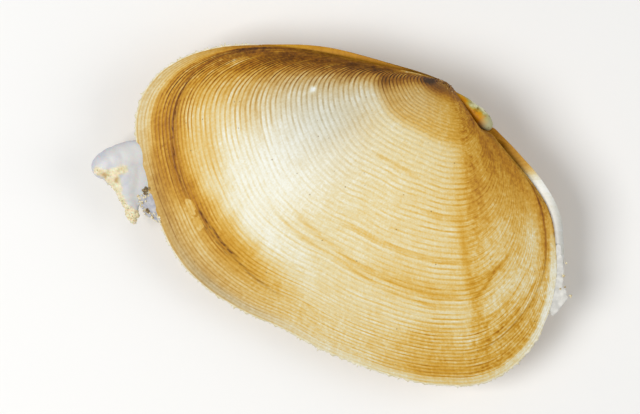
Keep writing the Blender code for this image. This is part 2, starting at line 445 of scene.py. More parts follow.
# What each valve has gone through: how bleached it is, from 0 for the darkest stain to 1 for chalk white,
# with painted light and shade added in some places, as noted below.
# The curves give that along a growth line, by the share of the way round the margin from the beak by the
# front end. They blend from the young shell at the umbo to the belly, the band and the rim; bandStart and
# rimStart give the growth where the last two begin, and furrows how dark the furrows are.
# A patch is (place along, growth, half sizes of both, change) and a line is (points, width, fade, change).
# Points are (along, growth) in lines and checks, and (growth, along) in seams and soot.
leftPaint = {
    "umbo": (
        (0.1, 0.34), (0.2, 0.3), (0.25, 0.34), (0.3, 0.45), (0.35, 0.57), (0.42, 0.6), (0.62, 0.6),
        (0.7, 0.5), (0.78, 0.39), (0.83, 0.3), (0.87, 0.5),
    ),
    # the dip of belly and band at about 0.13 to 0.2 along, on the steep slope in front of the beak, is stain
    # and painted shade
    "belly": (
        (0.1, 0.3), (0.13, 0.22), (0.16, 0.12), (0.18, 0.1), (0.21, 0.2), (0.25, 0.54), (0.28, 0.7),
        (0.32, 0.82), (0.36, 0.85), (0.41, 0.83), (0.47, 0.79), (0.55, 0.76), (0.65, 0.73), (0.672, 0.72),
        (0.69, 0.65), (0.75, 0.63), (0.8, 0.53), (0.84, 0.38), (0.88, 0.42),
    ),
    "band": (
        (0.1, 0.24), (0.13, 0.14), (0.15, 0.08), (0.18, 0.14), (0.21, 0.28), (0.25, 0.41), (0.3, 0.42),
        (0.35, 0.4), (0.39, 0.46), (0.44, 0.52), (0.48, 0.63), (0.52, 0.71), (0.56, 0.75), (0.6, 0.68),
        (0.65, 0.57), (0.72, 0.57), (0.77, 0.67), (0.81, 0.65), (0.85, 0.45), (0.88, 0.42),
    ),
    "rim": (
        (0.1, 0.3), (0.16, 0.34), (0.22, 0.62), (0.28, 0.68), (0.33, 0.56), (0.37, 0.52), (0.45, 0.56),
        (0.5, 0.68), (0.56, 0.8), (0.62, 0.76), (0.66, 0.7), (0.7, 0.76), (0.77, 0.88), (0.81, 0.84),
        (0.84, 0.6), (0.87, 0.48),
    ),
    "furrows": (
        (0.1, 0.2), (0.2, 0.3), (0.27, 0.16), (0.33, 0.065), (0.4, 0.032), (0.48, 0.045), (0.56, 0.05),
        (0.62, 0.08), (0.67, 0.095), (0.7, 0.05), (0.9, 0.06),
    ),
    "umboEnd": 0.236,  # growth at which the tan young shell ends
    "bandStart": (
        (0.13, 0.72), (0.18, 0.76), (0.2, 0.79), (0.26, 0.82), (0.31, 0.83), (0.36, 0.82), (0.4, 0.785),
        (0.435, 0.775), (0.47, 0.8), (0.51, 0.85), (0.54, 0.88), (0.59, 0.85), (0.63, 0.8), (0.68, 0.79),
        (0.73, 0.8), (0.8, 0.9), (0.87, 0.87),
    ),
    "rimStart": (
        (0.1, 0.97), (0.14, 0.95), (0.2, 0.935), (0.3, 0.945), (0.34, 0.975), (0.6, 0.975), (0.75, 0.97),
        (0.8, 0.94), (0.87, 0.95),
    ),
    "patches": (
        (0.23, 0.3, 0.04, 0.1, -0.15), (0.27, 0.13, 0.06, 0.08, -0.15), (0.3, 0.06, 0.08, 0.03, -0.25),
        (0.275, 0.21, 0.035, 0.045, -0.14), (0.33, 0.07, 0.06, 0.025, -0.14),
        (0.45, 0.07, 0.08, 0.025, -0.08), (0.5, 0.055, 0.3, 0.035, -0.36), (0.36, 0.32, 0.08, 0.1, -0.1),
        (0.39, 0.6, 0.06, 0.1, 0.05), (0.345, 0.44, 0.08, 0.14, -0.09), (0.29, 0.63, 0.03, 0.05, -0.06),
        (0.33, 0.765, 0.04, 0.035, -0.17), (0.45, 0.74, 0.05, 0.05, 0.06), (0.62, 0.66, 0.05, 0.05, -0.06),
        (0.71, 0.37, 0.025, 0.13, -0.09), (0.775, 0.3, 0.03, 0.12, -0.14), (0.725, 0.58, 0.025, 0.08, 0.07),
        (0.705, 0.655, 0.022, 0.018, -0.14), (0.76, 0.66, 0.06, 0.12, 0.04),
        # (0.165, 0.13) and (0.165, 0.26) are painted light on the self-shadowed slope in front of the beak;
        # (0.865, 0.25) is painted light in the shadow of the hollow beside the ligament
        (0.165, 0.13, 0.02, 0.08, 0.25), (0.165, 0.26, 0.02, 0.05, 0.1), (0.865, 0.25, 0.02, 0.08, 0.14),
        (0.735, 0.74, 0.05, 0.035, 0.08), (0.81, 0.78, 0.035, 0.08, 0.2), (0.77, 0.8, 0.03, 0.05, 0.08),
        (0.867, 0.8, 0.02, 0.06, 0.1), (0.3, 0.885, 0.06, 0.02, -0.08), (0.365, 0.85, 0.02, 0.025, -0.05),
        (0.445, 0.85, 0.03, 0.025, -0.03), (0.405, 0.86, 0.03, 0.02, -0.04),
        # (0.275, 0.432) is a tiny white chip, made brighter as a painted glint
        (0.275, 0.432, 0.006, 0.008, 0.45), (0.19, 0.6, 0.03, 0.1, 0.03), (0.21, 0.8, 0.02, 0.03, 0.22),
        (0.165, 0.83, 0.015, 0.02, 0.1), (0.165, 0.92, 0.02, 0.02, -0.2), (0.2, 0.94, 0.02, 0.02, 0.1),
        # (0.875, 0.17) is painted light in the shadow of the hollow beside the ligament
        (0.42, 0.915, 0.04, 0.02, 0.1), (0.84, 0.22, 0.015, 0.08, -0.08), (0.875, 0.17, 0.02, 0.07, 0.22),
        (0.64, 0.955, 0.02, 0.03, -0.08), (0.68, 0.84, 0.03, 0.05, 0.1), (0.365, 0.925, 0.02, 0.03, 0.12),
        (0.385, 0.9, 0.022, 0.03, 0.12), (0.405, 0.955, 0.03, 0.02, 0.06), (0.7, 0.37, 0.045, 0.16, -0.1),
        (0.79, 0.37, 0.05, 0.13, -0.1), (0.69, 0.95, 0.04, 0.015, -0.07), (0.862, 0.32, 0.015, 0.1, -0.08),
    ),
    "lines": (
        (((0.44, 0.617), (0.53, 0.672), (0.69, 0.7)), 0.009, 0.03, -0.08),
        (((0.58, 0.672), (0.685, 0.676)), 0.02, 0.03, -0.05),
        (((0.5, 0.58), (0.68, 0.585)), 0.006, 0.03, -0.12),
        (((0.42, 0.655), (0.6, 0.715), (0.68, 0.73)), 0.005, 0.04, -0.1),
        (((0.6, 0.45), (0.68, 0.46)), 0.008, 0.02, -0.08),
        (((0.46, 0.355), (0.57, 0.362)), 0.006, 0.03, -0.09),
        (((0.27, 0.565), (0.35, 0.555)), 0.004, 0.02, -0.08),
        (((0.26, 0.605), (0.34, 0.597)), 0.005, 0.02, -0.08),
        (((0.25, 0.64), (0.33, 0.632)), 0.004, 0.02, -0.06),
        (((0.69, 0.7), (0.72, 0.655), (0.76, 0.66)), 0.008, 0.02, -0.14),
        (((0.69, 0.82), (0.71, 0.79), (0.75, 0.78), (0.79, 0.8)), 0.004, 0.02, -0.1),
        (((0.69, 0.86), (0.72, 0.84), (0.76, 0.85), (0.8, 0.885)), 0.006, 0.02, -0.14),
        (((0.8, 0.897), (0.827, 0.898), (0.87, 0.86)), 0.018, 0.02, -0.2),
        (((0.71, 0.872), (0.78, 0.893)), 0.012, 0.03, -0.1),
    ),
    "seams": (
        (((0.42, 0.669), (0.72, 0.69), (0.86, 0.695)), 0.006, 0.12, -0.12),
        (((0.3, 0.712), (0.6, 0.728)), 0.006, 0.05, -0.05),
    ),
    "checks": (
        (((0.2, 0.9), (0.25, 0.872), (0.28, 0.866), (0.3, 0.875), (0.33, 0.884),
          (0.355, 0.874)), 0.0032, 0.02, 1.0),
        (((0.22, 0.895), (0.3, 0.884), (0.34, 0.892)), 0.003, 0.02, 0.2),
        (((0.27, 0.857), (0.3, 0.864), (0.34, 0.87)), 0.003, 0.015, 0.35),
        (((0.3, 0.905), (0.35, 0.898)), 0.004, 0.02, 0.2),
        (((0.375, 0.858), (0.385, 0.85), (0.4, 0.846), (0.433, 0.843)), 0.004, 0.006, 1.0),
        (((0.38, 0.862), (0.43, 0.856)), 0.003, 0.01, 0.6),
        (((0.433, 0.85), (0.467, 0.868), (0.487, 0.88)), 0.003, 0.01, 0.6),
        (((0.69, 0.88), (0.71, 0.872), (0.74, 0.868), (0.78, 0.893)), 0.004, 0.015, 0.3),
        (((0.78, 0.893), (0.827, 0.9), (0.868, 0.86)), 0.006, 0.015, 0.45),
        (((0.835, 0.993), (0.86, 0.993), (0.94, 0.99)), 0.01, 0.01, 0.9),
    ),
    "soot": (
        # this first line, on the steep slope in front of the beak, is a dark stain and painted shade
        (((0.27, 0.2), (0.36, 0.175), (0.46, 0.15), (0.6, 0.138), (0.8, 0.13),
          (0.94, 0.125)), 0.016, 0.05, 0.62),
        (((0.07, 0.77), (0.15, 0.8), (0.25, 0.835), (0.345, 0.848), (0.5, 0.862)), 0.009, 0.04, 0.5),
        (((0.75, 0.883), (0.97, 0.858)), 0.005, 0.03, 0.6),
        (((0.06, 0.8), (0.12, 0.82), (0.27, 0.868), (0.45, 0.893)), 0.014, 0.04, 0.75),
        (((0.15, 0.94), (0.5, 0.955), (1.0, 0.968)), 0.014, 0.06, 0.3),
    ),
    "cool": (
        (0.345, 0.46, 0.075, 0.17, 1.0), (0.31, 0.27, 0.05, 0.06, 0.3), (0.42, 0.14, 0.15, 0.09, 0.35),
        (0.44, 0.985, 0.05, 0.02, 0.4), (0.4, 0.975, 0.1, 0.04, 0.36), (0.26, 0.985, 0.07, 0.028, 0.4),
        (0.42, 0.92, 0.06, 0.05, 0.22), (0.5, 0.985, 0.06, 0.02, 0.3), (0.35, 0.34, 0.1, 0.11, 0.32),
        (0.27, 0.5, 0.05, 0.18, 0.3), (0.44, 0.45, 0.04, 0.12, 0.2),
    ),
    "roughness": 1,  # how sandy the stain is
    "beakStain": 0.065,  # growth up to which the beak is dark
    "flakes": (
        (0.37, 0.882, 0.011, 0.022, 1.0), (0.387, 0.878, 0.01, 0.022, 1.0),
        (0.378, 0.908, 0.018, 0.022, 0.92), (0.471, 0.893, 0.008, 0.012, 0.8),
    ),
}
rightPaint = leftPaint | {
    "patches": (
        (0.23, 0.3, 0.05, 0.12, -0.15), (0.28, 0.12, 0.08, 0.08, -0.2), (0.5, 0.055, 0.3, 0.035, -0.3),
        (0.4, 0.55, 0.08, 0.12, 0.05), (0.5, 0.36, 0.05, 0.1, -0.06), (0.6, 0.62, 0.06, 0.06, -0.07),
        (0.72, 0.4, 0.03, 0.15, -0.1), (0.79, 0.6, 0.04, 0.1, 0.08), (0.36, 0.87, 0.05, 0.03, -0.06),
        (0.62, 0.93, 0.05, 0.03, -0.08),
    ),
    "checks": (
        (((0.2, 0.9), (0.27, 0.87), (0.34, 0.88), (0.45, 0.86)), 0.004, 0.03, 0.6),
        (((0.5, 0.9), (0.6, 0.885), (0.7, 0.9)), 0.003, 0.03, 0.4),
    ),
    "belly": (
        (0.02, 0.34), (0.1, 0.36), (0.16, 0.3), (0.22, 0.5), (0.35, 0.72), (0.55, 0.76), (0.68, 0.66),
        (0.78, 0.5), (0.86, 0.42), (0.97, 0.36),
    ),
    "band": (
        (0.02, 0.3), (0.1, 0.34), (0.16, 0.38), (0.3, 0.45), (0.5, 0.62), (0.7, 0.55), (0.77, 0.7),
        (0.8, 0.9), (0.878, 0.92), (0.898, 0.42), (0.97, 0.3),
    ),
    "rim": (
        (0.02, 0.34), (0.1, 0.4), (0.17, 0.46), (0.23, 0.6), (0.3, 0.64), (0.5, 0.68), (0.7, 0.74),
        (0.79, 0.9), (0.88, 0.92), (0.9, 0.44), (0.97, 0.34),
    ),
    "bandStart": ((0.02, 0.8), (0.2, 0.8), (0.5, 0.84), (0.7, 0.8), (0.97, 0.8)),
    "soot": (
        (((0.55, 0.01), (1.0, 0.02)), 0.008, 0.1, 0.6),
        (((0.55, 0.985), (1.0, 0.98)), 0.01, 0.1, 0.5),
    ),
    "cool": ((0.45, 0.98, 0.12, 0.03, 0.5), (0.84, 0.99, 0.05, 0.06, 0.8)),
    "roughness": 0.25,
    "beakStain": 0.15,
    "flakes": (),
}


def softLine(across, along, line):
    # a soft line through points given as (along, across), which fades out past its ends
    points, width, fade, amount = line
    start, end = points[0][0], points[-1][0]
    inside = between(start - fade, start + fade, end - fade, end + fade, along)
    return amount * inside * np.exp(-(((across - alongLine(points, along)) / width) ** 2))


def softPatch(u, s, patch):
    place, growth, halfAlong, halfGrowth, amount = patch
    return amount * np.exp(-(((u - place) / halfAlong) ** 2) - ((s - growth) / halfGrowth) ** 2)


def seamless(u, s, across, along, seed):
    # unevenness that meets itself where the way round the margin starts again
    ring = 2 * math.pi * u
    return drift(np.cos(ring) * across, np.sin(ring) * across + 9 * s * along, seed)


def paintValve(valve, paint):
    # u is the share of the way round the margin and s the growth, in this and the two functions above
    u, s = marked(valve, "along"), marked(valve, "growth")
    broad = seamless(u, s, 3, 0.6, 1.0)
    uneven = seamless(u, s, 9, 1.5, 3.0)
    wobble = uneven + seamless(u, s, 70, 8, 7.0)
    streaky = 1 + 0.4 * seamless(u, s, 8, 1, 5.0)

    place, halfWidth, depth = shellForm["threadSag"]
    sag = depth * np.exp(-(((u - place) / halfWidth) ** 2)) * between(0.4, 0.75, 0.85, 0.98, s)
    mark(valve, "threads", threadsAt(s) + sag + 0.16 * broad * smoothStep(0.1, 0.4, s))

    inUmbo = 1 - smoothStep(-0.025, 0.02, s - paint["umboEnd"] - 0.004 * uneven)
    inBand = smoothStep(-0.055, 0.055, s - alongLine(paint["bandStart"], u) - 0.003 * uneven)
    inRim = smoothStep(-0.012, 0.012, s - alongLine(paint["rimStart"], u) - 0.004 * uneven)
    bleach = alongLine(paint["belly"], u)
    for name, share in (("umbo", inUmbo), ("band", inBand)):
        bleach = bleach + (alongLine(paint[name], u) - bleach) * share
    bleach = bleach + sum(softPatch(u, s, patch) for patch in paint["patches"])
    bleach = bleach + sum(softLine(s + 0.002 * uneven, u, line) for line in paint["lines"]) * streaky
    bleach = bleach + sum(softLine(u, s, line) for line in paint["seams"])
    bleach = bleach + (alongLine(paint["rim"], u) - bleach) * inRim + 0.014 * uneven
    mark(valve, "bleach", bleach)

    soot = sum(softLine(u, s, line) for line in paint["soot"])
    soot = soot + 0.65 * (1 - smoothStep(0.6, 1.1, s / paint["beakStain"]))
    mark(valve, "soot", soot * (0.8 + 0.35 * uneven))
    check = sum(softLine(s + 0.003 * wobble, u, line) for line in paint["checks"])
    mark(valve, "check", np.clip(check, 0, 1))
    mark(valve, "cool", sum(softPatch(u, s, patch) for patch in paint["cool"]))
    mark(valve, "flake", np.max([softPatch(u, s, patch) for patch in paint["flakes"]] + [0 * u], axis=0))

    # how strongly the patterns of the material show, by region
    rear = between(0.675, 0.69, 0.92, 0.98, u)
    front = 1 - smoothStep(0.2, 0.3, u)
    furrows = alongLine(paint["furrows"], u) * (1 - 0.8 * inRim) + 0.03 * inUmbo + 0.04 * inBand
    furrows *= 1 - 0.8 * (1 - smoothStep(0.2, 0.4, s)) * smoothStep(0.35, 0.55, u)
    mottle = 0.05 + 0.08 * rear + 0.26 * front + 0.06 * inBand
    grit = 0.06 + 0.28 * rear + 0.3 * front + 0.12 * inBand + 0.16 * inUmbo * smoothStep(0.4, 0.7, u)
    mark(valve, "furrows", furrows)
    mark(valve, "striae", 0.06 + 0.06 * inBand + 0.04 * rear)
    mark(valve, "mottle", mottle * (1 - 0.7 * inRim) * paint["roughness"])
    mark(valve, "grit", grit * (1 - 0.6 * inRim) * paint["roughness"])


def carveThreads(valve):
    # the wall is set back beside the ligament, and the raised threads are weaker towards the rear
    form = shellForm
    u, s, inside = marked(valve, "along"), marked(valve, "growth"), marked(valve, "inside")
    fromBeak = form["marginLength"] * s * (1 - u)
    hollow = between(*form["hollowAlong"], u) * (1 - smoothStep(0.93, 1.0, s))
    places = pointsOf(valve)
    places[:, 1] -= form["hollowDepth"] * hollow * between(*form["hollowFromBeak"], fromBeak)
    setPoints(valve, places)
    crest = np.sin(math.pi * np.mod(marked(valve, "threads"), 1) ** 0.8) ** 2
    strength = smoothStep(0.03, 0.2, s) * (1 - 0.6 * smoothStep(0.95, 0.99, s))
    strength *= 1 - 0.65 * smoothStep(0.66, 0.72, u)
    strength *= 1 - 0.65 * (1 - smoothStep(0.16, 0.3, s)) * smoothStep(0.48, 0.62, u)
    outside = (inside < 0.5) & (s < 0.99999)
    pushOut(valve, np.where(outside, form["threadHeight"] * crest * strength, 0))


def shellMaterial(name):
    # chalky aragonite under the last of its horny skin: satin, stained ochre and darkened with painted shade
    # in the furrows, and bleached on the threads
    made = newMaterial(name, {"Roughness": 0.5, "IOR": 1.53, "Specular IOR Level": 0.2})
    add = partial(addNode, made.node_tree)
    marks = {
        key: add("Attribute", attribute_name=key).outputs["Fac"]
        for key in "threads bleach soot check cool flake furrows striae mottle grit inside".split()
    }
    place = add("TexCoord").outputs["Object"]
    growth = add("UVMap", uv_map="growthMap")

    # clouds 2.5 mm, blotches 0.7 mm, grit 0.3 mm and grain 0.15 mm across
    clouds = add("TexNoise", (place, 400, 3))
    blotches = add("TexNoise", (place, 1400, 4))
    grit = add("TexNoise", (place, 3200, 2))
    grain = add("TexNoise", (place, 6500, 2))
    # rays run from beak to margin; streaks, wrinkles and stains lie along the threads
    rays, streaks, wrinkles = [
        add("TexNoise", (add("Mapping", {"Vector": growth, "Scale": scale}), 1, detail))
        for scale, detail in (((360, 14, 1), 2), ((45, 110, 1), 3), ((40, 330, 1), 3))
    ]
    slanted = add("Mapping", {
        "Vector": growth, "Rotation": (0, 0, math.radians(28)), "Scale": (330, 100, 1)})
    slanted = add("Mapping", {"Vector": slanted, "Scale": (1, 0.09, 1)})
    scratches = add("TexNoise", (slanted, 1, 2))

    # where a flake of the outer layer has come off, the paler layer under it shows, with a ragged edge
    ragged = add("Math", (grit, 0.55, marks["flake"]), operation="MULTIPLY_ADD")
    bared = add("MapRange", (ragged, 0.84, 0.9))
    tone = add("Mix", (bared, marks["bleach"], 0.6))

    # a thread is light on its crest; the furrow is darker, stained and with painted shade, in some more than
    # others and in patches
    ramp = add("Math", (marks["threads"], 0.5), operation="PINGPONG")
    crest = add("MapRange", (ramp, 0.04, 0.3), interpolation_type="SMOOTHSTEP")
    half = add("Math", (marks["threads"], 0.5), operation="ADD")
    number = add("Math", (half,), operation="FLOOR")
    dice = add("TexWhiteNoise", (number,), noise_dimensions="1D")
    lineDepth = add("MapRange", (dice, 0, 1, 0.7, 1.5))
    stretched = add("Mapping", {"Vector": growth, "Scale": (30, 40, 1)})
    stains = add("TexNoise", (stretched, 1, 4))
    broken = add("MapRange", (stains, 0.4, 0.62, 0.5, 1.9))
    furrow = add("Math", (crest, 0.6), operation="SUBTRACT")
    for factor in (lineDepth, broken, marks["furrows"]):
        furrow = add("Math", (furrow, factor), operation="MULTIPLY")
    tone = add("Math", (tone, furrow), operation="ADD")
    for pattern, amount in (
        (clouds, 0.07), (streaks, 0.12), (grain, 0.16), (rays, marks["striae"]), (blotches, marks["mottle"]),
        (grit, marks["grit"]), (wrinkles, marks["grit"]), (scratches, marks["striae"]),
    ):
        centred = add("Math", (pattern, 0.5), operation="SUBTRACT")
        tone = add("Math", (centred, amount, tone), operation="MULTIPLY_ADD")

    # stained by iron in most places, grey where it is leached
    stained = add("ValToRGB", (tone,), stops=(
        (0.0, "#3E2103"), (0.09, "#663B05"), (0.17, "#7E4A06"), (0.26, "#985F0A"), (0.37, "#B07612"),
        (0.47, "#C58F22"), (0.58, "#D3A542"), (0.68, "#DCBC70"), (0.79, "#E1D2A3"), (0.89, "#EAE7D3"),
        (1.0, "#F5F4EC"),
    ))
    leached = add("ValToRGB", (tone,), stops=(
        (0.25, "#6A5E40"), (0.5, "#A69E7E"), (0.7, "#CDCBB8"), (0.85, "#E3E5DE"), (1.0, "#F4F6F4"),
    ))
    grey = add("Math", (marks["cool"], 0.75), operation="MULTIPLY", use_clamp=True)
    colour = add("Mix", (grey, stained, leached), data_type="RGBA")
    # a few burrows and specks of mud, 0.1 mm across
    cells = add("TexVoronoi", (place, 1100))
    chosen = add("Math", (cells.outputs["Color"], 0.55), operation="GREATER_THAN")
    dot = add("MapRange", (cells.outputs["Distance"], 0.04, 0.09, 1, 0))
    specks = add("Math", (chosen, dot), operation="MULTIPLY")

    # the growth checks are dark cracks in the outer layer, darkened also as painted shade for the small step
    # at each check, which the shape lacks
    unbroken = add("Math", (1.0, bared), operation="SUBTRACT")
    patchy = add("MapRange", (grit, 0.35, 0.6, 0.35, 1.2))
    crackAndShade = marks["check"]
    for factor in (unbroken, patchy):
        crackAndShade = add("Math", (crackAndShade, factor), operation="MULTIPLY")
    for amount, tint, strength in (
        # the first tint darkens stains, dirt and the painted shade on the steep slope in front of the beak
        (marks["soot"], "#4A2E0C", 0.8), (crackAndShade, "#5E2A02", 0.9), (specks, "#6E4A1C", 0.6),
        (marks["inside"], "#F0DCC6", 1.0),
    ):
        scaled = add("Math", (amount, strength), operation="MULTIPLY", use_clamp=True)
        colour = add("Mix", (scaled, colour, linear(tint)), data_type="RGBA")

    relief = streaks
    for pattern, amount in ((rays, 0.4), (grain, 0.3), (bared, -0.4)):
        relief = add("Math", (pattern, amount, relief), operation="MULTIPLY_ADD")
    return finishMaterial(made, colour, relief, 0.35, 0.04)


def dress(piece, look, node=None):
    # gives a piece its material, hangs it under the root body and hides the solid it stands for, if one is
    # named
    piece.data.materials.append(look)
    makeActive(piece)
    bpy.ops.object.shade_smooth()
    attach(piece, "root")
    if node:
        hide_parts(node)


leftValve = valveShape("upper_valve", 1)
paintValve(leftValve, leftPaint)
closeOnHinge(leftValve, 1)
layDown(leftValve)
solidLow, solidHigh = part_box("left_valve")
places = pointsOf(leftValve)
beak = Vector((
    (solidLow.x + solidHigh.x) / 2 - (places[:, 0].min() + places[:, 0].max()) / 2 * mm,
    solidLow.y - places[:, 1].min() * mm,
    solidLow.z - places[:, 2].min() * mm - (shellForm["solidGap"] - shellForm["valveGap"]) / 2 * mm,
))
movePiece(leftValve, beak)
carveThreads(leftValve)
dress(leftValve, shellMaterial("stained aragonite"), "left_valve")
print("upper valve:", len(leftValve.data.polygons), "faces; beak at", [round(v / mm, 3) for v in beak])

rightValve = valveShape("lower_valve", -1)
paintValve(rightValve, rightPaint)
closeOnHinge(rightValve, -1)
layDown(rightValve, beak)
carveThreads(rightValve)
editMesh(rightValve)
bpy.ops.mesh.bisect(
    plane_co=(0, 0, 0.002 * mm), plane_no=(0, 0, -1), clear_outer=True, use_fill=True, threshold=1e-6,
)  # the flat that it rests on
objectMode()
dress(rightValve, shellMaterial("rust stained aragonite"), "right_valve")
print("lower valve:", len(rightValve.data.polygons), "faces")


def growLobes(name, lobes, cell, smoothing):
    # rounded lumps grown into one skin; a lobe is (x, y, z, half length, width and height, degrees turned).
    # It is made ten times too large and then shrunk, since a remesh can't have cells under 0.1 mm.
    clearSelection()
    lumps = []
    for x, y, z, length, width, height, turn in lobes:
        bpy.ops.mesh.primitive_uv_sphere_add(
            segments=24, ring_count=14, radius=10 * mm, location=(10 * x * mm, 10 * y * mm, 10 * z * mm),
            rotation=(0, 0, math.radians(turn)),
        )
        bpy.context.object.scale = (length, width, height)
        lumps.append(bpy.context.object)
    for lump in lumps:
        lump.select_set(True)
    bpy.context.view_layer.objects.active = lumps[0]
    bpy.ops.object.join()
    bpy.ops.object.transform_apply()
    body = bpy.context.object
    body.name = name
    finishModifier(body, "REMESH", mode="VOXEL", voxel_size=10 * cell * mm)
    finishModifier(body, "SMOOTH", factor=0.5, iterations=smoothing)
    editMesh(body)
    bpy.ops.transform.resize(value=(0.1, 0.1, 0.1), center_override=(0, 0, 0))
    objectMode()
    return body


def closeTo(places, lines, width):
    # 1 on any of the lines, seen from above, and fading out over the width
    flat = places[:, :2]
    nearest = np.full(len(flat), 1e9)
    for points in lines:
        for start, end in zip(points, points[1:]):
            start, way = np.array(start), np.subtract(end, start)
            along = np.clip((flat - start) @ way / (way @ way), 0, 1)
            nearest = np.minimum(nearest, np.linalg.norm(flat - start - along[:, None] * way, axis=1))
    return np.exp(-((nearest / width) ** 2))


def roughen(body, amount, size, seed, share=1.0):
    # lumps of the given size in millimetres, as high as the amount
    places = pointsOf(body) / size
    waves = np.array([noise.noise(Vector((x, y, z + seed))) for x, y, z in places])
    pushOut(body, np.clip(amount * share * (0.5 + waves), 0, None))


def crumbs(name, spots, sizes, seed):
    # small broken grains in one piece, each at its spot, half sunk into what carries it
    dice = random.Random(seed)
    clearSelection()
    start = Vector(spots[0]) * mm
    bpy.ops.mesh.primitive_ico_sphere_add(subdivisions=2, radius=sizes[0] * mm, location=start)
    heap = bpy.context.object
    heap.name = name
    bpy.ops.object.transform_apply()
    bpy.ops.object.mode_set(mode="EDIT")
    for spot in spots[1:]:
        size = dice.uniform(*sizes)
        bpy.ops.mesh.primitive_ico_sphere_add(
            subdivisions=2, radius=size * mm, location=Vector(spot) * mm,
            rotation=[dice.uniform(0, math.pi) for axis in range(3)],
            scale=[dice.uniform(0.55, 1.3) for axis in range(3)],
        )
    objectMode()
    roughen(heap, 0.35 * sizes[1], 0.5 * sizes[1], seed)
    return heap


def spotsOn(places, chance, most, seed, spread=0.0):
    # some of the places, picked by chance
    dice = random.Random(seed)
    likely = np.nonzero(chance > 0.05)[0]
    picked = dice.choices(list(likely), weights=list(chance[likely]), k=most)
    return [tuple(float(v) + dice.uniform(-spread, spread) for v in places[index]) for index in picked]


# A dead foot hangs out at the front: a smooth lobe with a crusted skirt and stalk, and a torn edge beside it.
footForm = {
    "lobes": (
        (-19.4, -18.5, 0.0, 1.7, 1.35, 0.4, 52), (-20.05, -18.95, 0.02, 1.9, 1.4, 0.58, 52),
        (-20.5, -19.38, 0.04, 1.9, 1.36, 0.74, 52), (-21.0, -19.9, 0.06, 1.7, 1.28, 0.86, 52),
        (-21.35, -20.35, 0.08, 1.4, 1.16, 0.9, 52), (-21.53, -20.75, 0.08, 1.1, 1.06, 0.86, 0),
        (-20.4, -20.5, 0.03, 1.4, 1.3, 0.8, 80), (-19.6, -20.6, 0.0, 1.5, 1.3, 0.7, 100),
        (-19.0, -21.0, 0.0, 1.7, 1.15, 0.62, 116), (-18.95, -20.5, 0.0, 1.9, 1.2, 0.6, 116),
        (-18.4, -20.4, 0.0, 2.1, 1.3, 0.52, 116), (-18.5, -21.7, 0.0, 1.2, 0.95, 0.52, 130),
        (-17.9, -22.4, 0.0, 0.95, 0.62, 0.44, 125), (-17.6, -22.95, 0.0, 0.46, 0.36, 0.38, 0),
        (-17.2, -23.05, 0.0, 0.3, 0.28, 0.3, 0), (-17.55, -23.35, 0.0, 0.3, 0.28, 0.28, 0),
        (-17.15, -23.55, 0.0, 0.25, 0.24, 0.22, 0),
    ),
    "cell": 0.07,
    "smoothing": 14,
    "crust": (
        ((-21.75, -21.2), (-21.1, -21.1), (-20.2, -21.6), (-19.2, -22.2), (-18.3, -22.8), (-17.26, -23.3)),
        ((-21.1, -21.1), (-20.5, -20.6), (-19.9, -19.95)), ((-20.5, -20.6), (-20.0, -21.1), (-19.5, -21.7)),
    ),
    "crustWidth": 0.4,
    "crustLumps": (0.14, 0.24),  # height and size
    "clumpFrom": (-22.3, -22.8),  # the Y over which the skirt ends in a clump of sand
    "rust": (((-21.15, -21.15), (-21.0, -21.2)), ((-20.0, -21.0), (-19.95, -21.1))),
    "rustWidth": 0.2,
    "folds": (((-18.9, -19.6), (-17.8, -22.3)),),
    "foldWidth": 0.5,
    "sandGrains": 180,
    "sandSizes": (0.018, 0.048),
    "sandWidth": 0.5,
    "tornLobes": (
        (-17.4, -21.35, 0.1, 0.6, 0.45, 0.34, 30), (-16.8, -21.9, 0.05, 0.5, 0.3, 0.28, 0),
        (-16.45, -21.25, 0.08, 1.15, 0.62, 0.32, 118), (-16.0, -21.85, 0.04, 0.85, 0.5, 0.28, 130),
        (-15.2, -22.15, 0.0, 0.46, 0.42, 0.3, 0), (-16.55, -22.35, 0.0, 0.2, 0.17, 0.15, 0),
        (-16.15, -22.42, 0.0, 0.26, 0.15, 0.13, 20),
    ),
    "tornCell": 0.045,
    "tornSmoothing": 3,
    "tornLumps": (0.05, 0.3),
    "tornSandX": -16.9,  # its sand lies before this X and below this Y
    "tornSandY": -22.0,
    "tornGrains": 200,
    "tornGrainSizes": (0.03, 0.09),
    "mudSpots": (
        (-17.5, -20.45, 0.38), (-17.35, -20.65, 0.34), (-17.55, -20.75, 0.34), (-17.25, -20.35, 0.36),
        (-17.35, -20.9, 0.28), (-16.4, -22.15, 0.25), (-16.52, -22.0, 0.2),
    ),
    "mudSizes": (0.1, 0.22),
}


